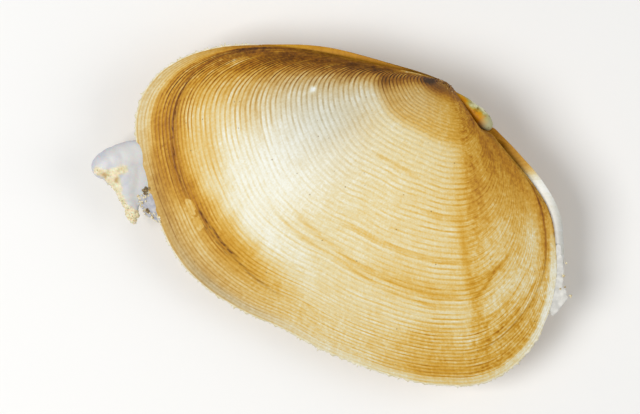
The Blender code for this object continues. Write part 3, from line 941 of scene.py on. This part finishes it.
def dryMuscle():
    # dead muscle, dried to a bluish grey-white skin, waxy and a little see-through, under a sandy crust;
    # bluer towards its outline as a painted sheen
    made = newMaterial("dried muscle", {
        "Roughness": 0.42, "IOR": 1.42, "Subsurface Weight": 0.25, "Subsurface Scale": 0.5 * mm,
    })
    add = partial(addNode, made.node_tree)
    place = add("TexCoord").outputs["Object"]
    crust, rust, fold = [
        add("Attribute", attribute_name=key).outputs["Fac"] for key in ("crust", "rust", "fold")
    ]
    lumps = add("TexNoise", (place, 3500, 3))
    cloud = add("TexNoise", (place, 900, 2))
    skin = add("ValToRGB", (cloud,), stops=((0.3, "#C5C6CB"), (0.6, "#D2D1CE")))
    # where the skin turns away from the view it is mixed towards blue: a painted sheen
    facing = add("LayerWeight", (0.25,)).outputs["Facing"]
    skin = add("Mix", (facing, skin, linear("#ADB3C8")), data_type="RGBA")
    folded = add("Math", (fold, 0.4), operation="MULTIPLY")
    skin = add("Mix", (folded, skin, linear("#B4B0A6")), data_type="RGBA")
    sand = add("ValToRGB", (lumps,), stops=((0.3, "#D0C092"), (0.5, "#E1D6B0"), (0.7, "#EDE5C9")))
    patchy = add("Math", (lumps, 0.8, crust), operation="MULTIPLY_ADD")
    cover = add("MapRange", (patchy, 0.6, 1.1))
    colour = add("Mix", (cover, skin, sand), data_type="RGBA")
    rusty = add("Math", (rust, 0.7), operation="MULTIPLY", use_clamp=True)
    colour = add("Mix", (rusty, colour, linear("#B08A3C")), data_type="RGBA")
    height = add("Math", (lumps, cover), operation="MULTIPLY")
    return finishMaterial(made, colour, height, 0.5, 0.1)


def sandGrains(name, stops):
    # grains of sand and shell, dull, from cream to brown
    made = newMaterial(name, {"Roughness": 0.8, "IOR": 1.5})
    add = partial(addNode, made.node_tree)
    kinds = add("TexNoise", (add("TexCoord").outputs["Object"], 5000, 1))
    return finishMaterial(made, add("ValToRGB", (kinds,), stops=stops))


def glassySkin(name, tint, milky, clear):
    # thin dried mantle edge, clear like wet paper, with milky clouds
    made = newMaterial(name, {"Roughness": 0.4, "IOR": 1.36, "Transmission Weight": clear})
    add = partial(addNode, made.node_tree)
    milk = add("TexNoise", (add("TexCoord").outputs["Object"], 1800, 3))
    colour = add("ValToRGB", (milk,), stops=((0.35, tint), (0.65, milky)))
    return finishMaterial(made, colour, milk, 0.4, 0.06)


creamSand = sandGrains("cream sand", (
    (0.3, "#9A7A46"), (0.42, "#D2C294"), (0.55, "#E8DDB8"), (0.7, "#F2ECD6"),
))
mudSand = sandGrains("brown mud crumb", ((0.35, "#6A5A40"), (0.5, "#8A7550"), (0.65, "#AA966C")))

form = footForm
foot = growLobes("foot_lobe", form["lobes"], form["cell"], form["smoothing"])
places = pointsOf(foot)
crust = closeTo(places, form["crust"], form["crustWidth"])
clump = smoothStep(*form["clumpFrom"], places[:, 1])
roughen(foot, *form["crustLumps"], 2.0, 0.35 * crust + clump)
mark(foot, "crust", np.maximum(crust, clump))
mark(foot, "rust", closeTo(places, form["rust"], form["rustWidth"]))
mark(foot, "fold", closeTo(places, form["folds"], form["foldWidth"]))
edge = closeTo(places, form["crust"][:1], form["sandWidth"])
edge = np.where(edge > 0.3, edge + 2 * clump, 0)
sandSpots = spotsOn(pointsOf(foot), edge, form["sandGrains"], 5)
grains = crumbs("foot_sand", sandSpots, form["sandSizes"], 6)

torn = growLobes("torn_foot_edge", form["tornLobes"], form["tornCell"], form["tornSmoothing"])
roughen(torn, *form["tornLumps"], 8.0)
places = pointsOf(torn)
sandy = (places[:, 1] < form["tornSandY"]) | (places[:, 0] < form["tornSandX"])
tornSpots = spotsOn(places, np.where(sandy, 1.0, 0.0), form["tornGrains"], 9)
tornGrains = crumbs("torn_edge_sand", tornSpots, form["tornGrainSizes"], 10)
mudGrains = crumbs("dark_crumb", form["mudSpots"], form["mudSizes"], 12)
for piece in (foot, grains, torn, tornGrains, mudGrains):
    layDown(piece, beak)
dress(foot, dryMuscle(), "foot")
dress(grains, creamSand)
dress(torn, glassySkin("glassy mantle", "#A3A5B0", "#CBC9CA", 0.08))
dress(tornGrains, creamSand)
dress(mudGrains, mudSand)
print("foot:", len(foot.data.polygons), "faces,", len(grains.data.polygons), "in its sand")


# The shred of mantle edge at the rear, and the scalloped film beside it.
shredForm = {
    "lobes": (
        (17.2, -11.3, 0.0, 1.1, 0.5, 0.1, 105), (17.55, -10.9, 0.0, 0.9, 0.4, 0.1, 100),
        (17.6, -11.7, 0.0, 0.85, 0.28, 0.09, 95), (17.8, -10.7, 0.05, 0.35, 0.25, 0.1, 60),
        (17.02, -10.3, 0.0, 0.6, 0.42, 0.1, 120), (16.6, -9.7, 0.0, 0.65, 0.4, 0.1, 115),
        (16.25, -8.9, 0.0, 0.6, 0.38, 0.1, 115), (15.8, -8.2, 0.0, 0.6, 0.34, 0.1, 122),
        (15.3, -7.5, 0.0, 0.6, 0.26, 0.1, 122),
    ),
    "cell": 0.04,
    "smoothing": 2,
    "lumps": (0.06, 0.3),  # height and size
    "crumbs": (
        (18.2, -10.35, 0.1), (18.1, -10.25, 0.12), (16.4, -8.05, 0.05), (17.35, -9.85, 0.12),
        (17.1, -10.2, 0.15), (17.3, -12.5, 0.0), (16.75, -9.1, 0.1),
    ),
    "crumbSizes": (0.05, 0.1),
}
form = shredForm
shred = growLobes("mantle_film", form["lobes"], form["cell"], form["smoothing"])
roughen(shred, *form["lumps"], 14.0)
shredSand = crumbs("mantle_sand", form["crumbs"], form["crumbSizes"], 15)
for piece in (shred, shredSand):
    layDown(piece, beak)
dress(shred, glassySkin("torn mantle", "#CFCDC6", "#E8E6DE", 0.1), "mantle_shred")
dress(shredSand, creamSand)
print("mantle shred:", len(shred.data.polygons), "faces")


# The ligament springs from the beaks and swells to a blunt end. A section is (x, y, half height, width).
ligamentForm = {
    "sections": (
        (0.9, -0.3, 0.06, 0.1), (1.3, -0.42, 0.2, 0.22), (2.0, -0.6, 0.42, 0.42), (2.7, -0.78, 0.56, 0.54),
        (3.4, -0.94, 0.65, 0.6), (4.0, -1.06, 0.7, 0.64), (4.6, -1.18, 0.64, 0.6), (5.0, -1.28, 0.45, 0.44),
        (5.22, -1.36, 0.2, 0.2),
    ),
    "sides": 20,
    "lift": 0.2,
    "lumps": (0.05, 0.5),  # height and size
}


def sweepLigament():
    form = ligamentForm
    x, y, tall, wide = form["sections"][0]
    clearSelection()
    bpy.ops.mesh.primitive_circle_add(
        vertices=form["sides"], radius=mm, fill_type="NGON", location=(x * mm, y * mm, 0),
        rotation=(0, math.pi / 2, 0),
    )
    horn = bpy.context.object
    horn.name = "ligament_horn"
    bpy.ops.object.transform_apply()
    editMesh(horn)
    bpy.ops.transform.resize(value=(1, tall, wide), center_override=(x * mm, y * mm, 0))
    for nextX, nextY, nextTall, nextWide in form["sections"][1:]:
        middle = (nextX * mm, nextY * mm, 0)
        bpy.ops.mesh.extrude_region_move()
        bpy.ops.transform.translate(value=((nextX - x) * mm, (nextY - y) * mm, 0))
        bpy.ops.transform.resize(value=(1, nextTall / tall, nextWide / wide), center_override=middle)
        x, y, tall, wide = nextX, nextY, nextTall, nextWide
    normalsOut(horn)
    finishModifier(horn, "SUBSURF", levels=2)
    # for the colours: how far up across the band, and how far from the beaks to its end, each from 0 to 1
    places = pointsOf(horn)
    middle = alongLine([section[:2] for section in form["sections"]], places[:, 0])
    lower = 0.12 * (1 - smoothStep(2.0, 3.5, places[:, 0]))
    mark(horn, "rise", (places[:, 1] - middle) / 1.2 + 0.5 - lower)
    mark(horn, "length", (places[:, 0] - 0.9) / 4.3)
    roughen(horn, *form["lumps"], 17.0)
    return horn


def hornyBand():
    # springy brown horn: amber where it is thin beside the shell, painted lighter there to lift the shade of
    # the shell wall, greenish cream along its crown
    made = newMaterial("ligament horn", {"Roughness": 0.42, "IOR": 1.45, "Specular IOR Level": 0.25})
    add = partial(addNode, made.node_tree)
    place = add("TexCoord").outputs["Object"]
    rise, length = [add("Attribute", attribute_name=key).outputs["Fac"] for key in ("rise", "length")]
    lumps = add("TexNoise", (place, 1500, 3))
    centred = add("Math", (lumps, 0.5), operation="SUBTRACT")
    mixed = add("Math", (centred, 1.3, rise), operation="MULTIPLY_ADD")
    # the amber stops are the horn's own colour, made lighter as painted light against the shade beside the
    # shell
    colour = add("ValToRGB", (mixed,), stops=(
        (0.25, "#BC7400"), (0.5, "#C88A02"), (0.64, "#B89C38"), (0.78, "#B6B076"), (1.0, "#DEDAB0"),
    ))
    spots = add("TexNoise", (place, 2600, 2))
    faded = add("MapRange", (length, 0.7, 0.9, 0, 0.95))
    dark = add("MapRange", (spots, 0.57, 0.7, 0, 0.6))
    for amount, tint in ((faded, "#AAA880"), (dark, "#6B4A12")):
        colour = add("Mix", (amount, colour, linear(tint)), data_type="RGBA")
    return finishMaterial(made, colour, lumps, 0.4, 0.05)


ligament = sweepLigament()
movePiece(ligament, (0, 0, ligamentForm["lift"] * mm))
layDown(ligament, beak)
dress(ligament, hornyBand(), "ligament")
print("ligament:", len(ligament.data.polygons), "faces")


# The horny skin that hangs over the left valve's edge is torn into a thin fringe.
fringeForm = {
    "stepsPerSpan": 40,
    "inward": 0.15,
    "width": 0.1,
    "teeth": 0.3,  # how far the longest teeth stand out
    "thick": 0.03,
    "from": 0.16,  # the shares of the way round the margin between which it shows
    "to": 0.75,
    "fade": 0.02,
    "tuckedIn": 0.05,  # how far it lies inside the edge elsewhere
}


def tornFringe():
    form = fringeForm
    fringe = marginLoop("margin_fringe", form["stepsPerSpan"])
    loop = pointsOf(fringe)
    out = outwardFrom(loop)
    u = shareRound(loop)
    teeth = form["teeth"] * np.clip(drift(u * 700, u * 0, 23.0), 0, 1) ** 2
    width = form["width"] * (1 + drift(u * 260, u * 0, 21.0)) + teeth
    start, end, fade = form["from"], form["to"], form["fade"]
    visible = between(start - fade, start, end, end + fade, u)
    count = len(loop)
    mark(fringe, "number", np.arange(count))
    setPoints(fringe, loop - out * form["inward"])
    editMesh(fringe)
    bpy.ops.mesh.extrude_region_move()
    objectMode()
    number = np.rint(marked(fringe, "number")).astype(int)[count:]
    places = pointsOf(fringe)
    reach = width * visible - form["tuckedIn"] * (1 - visible)
    places[count:] = loop[number] + out[number] * reach[number][:, None]
    setPoints(fringe, places)
    finishModifier(fringe, "SOLIDIFY", thickness=form["thick"] * mm, offset=0)
    return fringe


fringe = tornFringe()
closeOnHinge(fringe, 1)
layDown(fringe, beak)
dress(fringe, glassySkin("torn horny skin", "#D8CCA2", "#EAE4CC", 0.0))

# Dark sediment sticks to both beaks, and one white bristle stands at the front edge.
trimForm = {
    "dirtGrains": 130,  # on each valve
    "dirtGrowth": (0.006, 0.02, 0.055),  # where on the beak it starts, and over which growth it ends
    "dirtSpread": 0.02,
    "dirtSizes": (0.02, 0.055),
    "bristleLength": 0.45,
    "bristleEnds": (0.035, 0.008),
    "bristleLean": (("Y", 75), ("Z", 50)),
    "bristlePlace": (-17.93, -6.62, 0.1),
}
form = trimForm
starts, fades, gone = form["dirtGrowth"]
dirtSpots = []
for valve in (leftValve, rightValve):
    along, growth, inside = [marked(valve, name) for name in ("along", "growth", "inside")]
    chance = np.where((inside < 0.5) & (growth > starts), 1 - smoothStep(fades, gone, growth), 0)
    order = np.lexsort((growth, np.round(along, 4)))  # extruding numbers the vertices differently on each run
    dirtSpots += spotsOn(pointsOf(valve)[order], chance[order], form["dirtGrains"], 31, form["dirtSpread"])
dirt = crumbs("beak_dirt", dirtSpots, form["dirtSizes"], 33)
dress(dirt, sandGrains("dark sediment", (
    (0.35, "#3C2208"), (0.45, "#724812"), (0.55, "#A27234"), (0.65, "#D2AC70"),
)))

clearSelection()
thick, thin = form["bristleEnds"]
bpy.ops.mesh.primitive_cone_add(
    vertices=8, radius1=thick * mm, radius2=thin * mm, depth=form["bristleLength"] * mm,
)
bristle = bpy.context.object
bristle.name = "bristle"
editMesh(bristle)
for axis, degrees in form["bristleLean"]:
    bpy.ops.transform.rotate(value=math.radians(degrees), orient_axis=axis, center_override=(0, 0, 0))
bpy.ops.transform.translate(value=Vector(form["bristlePlace"]) * mm)
objectMode()
layDown(bristle, beak)
dress(bristle, glassySkin("white bristle", "#F2F0EA", "#F2F0EA", 0.0))
print("trim:", len(fringe.data.polygons), "faces in the fringe,", len(dirt.data.polygons), "in the dirt")


# The table, the light and the camera.
studio = {
    "floor": "#F2F1EE",
    "floorSize": 0.6,  # metres, as the lights are
    "sky": "#F4F6FA",
    "skyStrength": 0.35,
    "lights": (  # name, place, size, watts
        ("key softbox", (-0.095, -0.085, 0.21), 0.12, 0.42),
        ("fill softbox", (0.16, 0.1, 0.16), 0.16, 0.19),
    ),
    "lightsAimAt": (0, 0, 0.006),
    "viewWidth": 53.9,  # millimetres across the view
    "viewMiddle": (-3.87, -14.20),  # from the beak
    "viewTurn": 30,  # degrees
    "lens": 100,
}
clearSelection()
bpy.ops.mesh.primitive_plane_add(size=studio["floorSize"], location=(0, 0, 0))
floor = bpy.context.object
floor.name = "studio_floor"
paper = newMaterial("matt paper", {"Base Color": linear(studio["floor"]), "Roughness": 0.9})
floor.data.materials.append(paper)

world = bpy.data.worlds.new("studio")
scene.world = world
world.use_nodes = True
background = world.node_tree.nodes["Background"]
background.inputs["Color"].default_value = linear(studio["sky"])
background.inputs["Strength"].default_value = studio["skyStrength"]

for name, place, size, watts in studio["lights"]:
    bpy.ops.object.light_add(type="AREA", location=place)
    lamp = bpy.context.object
    lamp.name = name
    lamp.data.size = size
    lamp.data.energy = watts
    way = Vector(studio["lightsAimAt"]) - Vector(place)
    lamp.rotation_euler = way.to_track_quat("-Z", "Y").to_euler()

camera = bpy.data.objects.new("camera", bpy.data.cameras.new("camera"))
scene.collection.objects.link(camera)
camera.data.lens = studio["lens"]
camera.data.sensor_width = 36
camera.data.clip_start = 0.001
distance = studio["viewWidth"] * mm * studio["lens"] / camera.data.sensor_width
middleX, middleY = studio["viewMiddle"]
middleZ = (cadLow.z + cadHigh.z) / 2
camera.location = (beak.x + middleX * mm, beak.y + middleY * mm, middleZ + distance)
camera.rotation_euler = (0, 0, math.radians(studio["viewTurn"]))
scene.camera = camera
print("camera:", round(distance, 4), "m above the shell")
